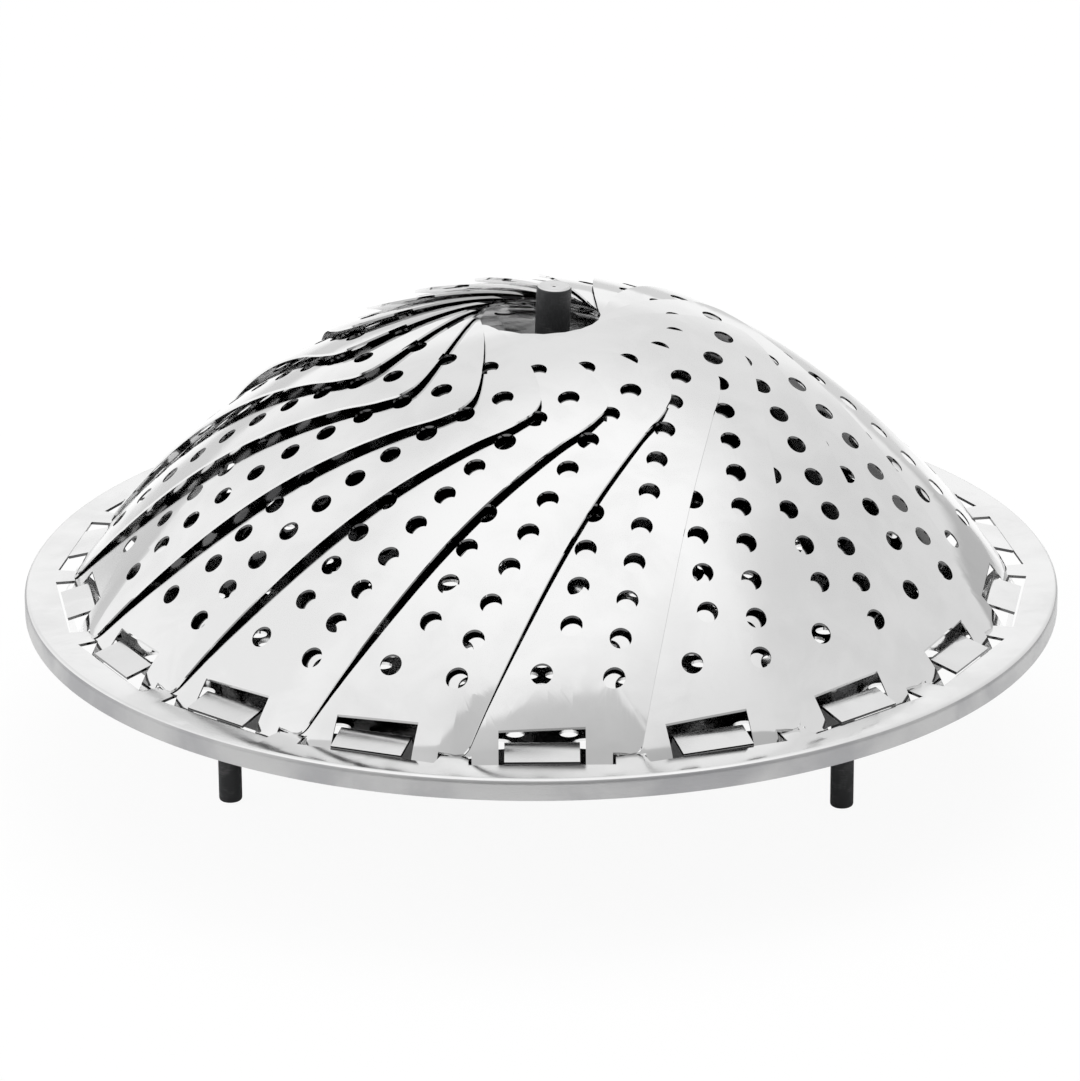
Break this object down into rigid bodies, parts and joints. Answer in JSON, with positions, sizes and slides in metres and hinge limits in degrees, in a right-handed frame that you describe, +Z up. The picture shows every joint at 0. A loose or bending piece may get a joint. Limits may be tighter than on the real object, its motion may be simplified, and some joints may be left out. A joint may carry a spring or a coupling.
{
  "type": "folding steamer basket",
  "caption": "Round folding vegetable steamer: overlapping perforated metal leaves hinged to a slotted base plate with a centre post and short legs.",
  "frame": {"origin": "on the surface the basket stands on, below the centre post", "axes": "+Z up along the centre post; -Y towards the first petal, which is the front; +X to the right seen from the front"},
  "size_m": [0.18, 0.18, 0.0835],
  "materials": {
    "stainless_sheet": "polished stainless sheet, softly clouded",
    "dark_coating": "dark grey matt",
    "steel_fastener": "plain steel"
  },
  "bodies": {
    "base": {"base_plate": "stainless_sheet", "centre_post": "dark_coating", "post_nut": "steel_fastener", "leg_left": "dark_coating", "leg_right": "dark_coating", "leg_rear": "dark_coating"},
    "petal_01": {"petal_01": "stainless_sheet"},
    "petal_02": {"petal_02": "stainless_sheet"},
    "petal_03": {"petal_03": "stainless_sheet"},
    "petal_04": {"petal_04": "stainless_sheet"},
    "petal_05": {"petal_05": "stainless_sheet"},
    "petal_06": {"petal_06": "stainless_sheet"},
    "petal_07": {"petal_07": "stainless_sheet"},
    "petal_08": {"petal_08": "stainless_sheet"},
    "petal_09": {"petal_09": "stainless_sheet"},
    "petal_10": {"petal_10": "stainless_sheet"},
    "petal_11": {"petal_11": "stainless_sheet"},
    "petal_12": {"petal_12": "stainless_sheet"},
    "petal_13": {"petal_13": "stainless_sheet"},
    "petal_14": {"petal_14": "stainless_sheet"},
    "petal_15": {"petal_15": "stainless_sheet"},
    "petal_16": {"petal_16": "stainless_sheet"},
    "petal_17": {"petal_17": "stainless_sheet"},
    "petal_18": {"petal_18": "stainless_sheet"}
  },
  "joints": [
    {"name": "petal_01_hinge", "type": "hinge", "parent": "base", "child": "petal_01", "pos_m": [0, -0.0816, 0.0294], "axis": [1, 0, 0], "range_deg": [0, 90]},
    {"name": "petal_02_hinge", "type": "hinge", "parent": "base", "child": "petal_02", "pos_m": [0.02791, -0.07668, 0.0294], "axis": [0.9397, 0.342, 0], "range_deg": [0, 90]},
    {"name": "petal_03_hinge", "type": "hinge", "parent": "base", "child": "petal_03", "pos_m": [0.05245, -0.06251, 0.0294], "axis": [0.766, 0.6428, 0], "range_deg": [0, 90]},
    {"name": "petal_04_hinge", "type": "hinge", "parent": "base", "child": "petal_04", "pos_m": [0.07067, -0.0408, 0.0294], "axis": [0.5, 0.866, 0], "range_deg": [0, 90]},
    {"name": "petal_05_hinge", "type": "hinge", "parent": "base", "child": "petal_05", "pos_m": [0.08036, -0.01417, 0.0294], "axis": [0.1736, 0.9848, 0], "range_deg": [0, 90]},
    {"name": "petal_06_hinge", "type": "hinge", "parent": "base", "child": "petal_06", "pos_m": [0.08036, 0.01417, 0.0294], "axis": [-0.1736, 0.9848, 0], "range_deg": [0, 90]},
    {"name": "petal_07_hinge", "type": "hinge", "parent": "base", "child": "petal_07", "pos_m": [0.07067, 0.0408, 0.0294], "axis": [-0.5, 0.866, 0], "range_deg": [0, 90]},
    {"name": "petal_08_hinge", "type": "hinge", "parent": "base", "child": "petal_08", "pos_m": [0.05245, 0.06251, 0.0294], "axis": [-0.766, 0.6428, 0], "range_deg": [0, 90]},
    {"name": "petal_09_hinge", "type": "hinge", "parent": "base", "child": "petal_09", "pos_m": [0.02791, 0.07668, 0.0294], "axis": [-0.9397, 0.342, 0], "range_deg": [0, 90]},
    {"name": "petal_10_hinge", "type": "hinge", "parent": "base", "child": "petal_10", "pos_m": [0, 0.0816, 0.0294], "axis": [-1, 0, 0], "range_deg": [0, 90]},
    {"name": "petal_11_hinge", "type": "hinge", "parent": "base", "child": "petal_11", "pos_m": [-0.02791, 0.07668, 0.0294], "axis": [-0.9397, -0.342, 0], "range_deg": [0, 90]},
    {"name": "petal_12_hinge", "type": "hinge", "parent": "base", "child": "petal_12", "pos_m": [-0.05245, 0.06251, 0.0294], "axis": [-0.766, -0.6428, 0], "range_deg": [0, 90]},
    {"name": "petal_13_hinge", "type": "hinge", "parent": "base", "child": "petal_13", "pos_m": [-0.07067, 0.0408, 0.0294], "axis": [-0.5, -0.866, 0], "range_deg": [0, 90]},
    {"name": "petal_14_hinge", "type": "hinge", "parent": "base", "child": "petal_14", "pos_m": [-0.08036, 0.01417, 0.0294], "axis": [-0.1736, -0.9848, 0], "range_deg": [0, 90]},
    {"name": "petal_15_hinge", "type": "hinge", "parent": "base", "child": "petal_15", "pos_m": [-0.08036, -0.01417, 0.0294], "axis": [0.1736, -0.9848, 0], "range_deg": [0, 90]},
    {"name": "petal_16_hinge", "type": "hinge", "parent": "base", "child": "petal_16", "pos_m": [-0.07067, -0.0408, 0.0294], "axis": [0.5, -0.866, 0], "range_deg": [0, 90]},
    {"name": "petal_17_hinge", "type": "hinge", "parent": "base", "child": "petal_17", "pos_m": [-0.05245, -0.06251, 0.0294], "axis": [0.766, -0.6428, 0], "range_deg": [0, 90]},
    {"name": "petal_18_hinge", "type": "hinge", "parent": "base", "child": "petal_18", "pos_m": [-0.02791, -0.07668, 0.0294], "axis": [0.9397, -0.342, 0], "range_deg": [0, 90]}
  ],
  "couplings": [
    {"joint": "petal_02_hinge", "follows": "petal_01_hinge", "ratio": 1},
    {"joint": "petal_03_hinge", "follows": "petal_01_hinge", "ratio": 1},
    {"joint": "petal_04_hinge", "follows": "petal_01_hinge", "ratio": 1},
    {"joint": "petal_05_hinge", "follows": "petal_01_hinge", "ratio": 1},
    {"joint": "petal_06_hinge", "follows": "petal_01_hinge", "ratio": 1},
    {"joint": "petal_07_hinge", "follows": "petal_01_hinge", "ratio": 1},
    {"joint": "petal_08_hinge", "follows": "petal_01_hinge", "ratio": 1},
    {"joint": "petal_09_hinge", "follows": "petal_01_hinge", "ratio": 1},
    {"joint": "petal_10_hinge", "follows": "petal_01_hinge", "ratio": 1},
    {"joint": "petal_11_hinge", "follows": "petal_01_hinge", "ratio": 1},
    {"joint": "petal_12_hinge", "follows": "petal_01_hinge", "ratio": 1},
    {"joint": "petal_13_hinge", "follows": "petal_01_hinge", "ratio": 1},
    {"joint": "petal_14_hinge", "follows": "petal_01_hinge", "ratio": 1},
    {"joint": "petal_15_hinge", "follows": "petal_01_hinge", "ratio": 1},
    {"joint": "petal_16_hinge", "follows": "petal_01_hinge", "ratio": 1},
    {"joint": "petal_17_hinge", "follows": "petal_01_hinge", "ratio": 1},
    {"joint": "petal_18_hinge", "follows": "petal_01_hinge", "ratio": 1}
  ]
}
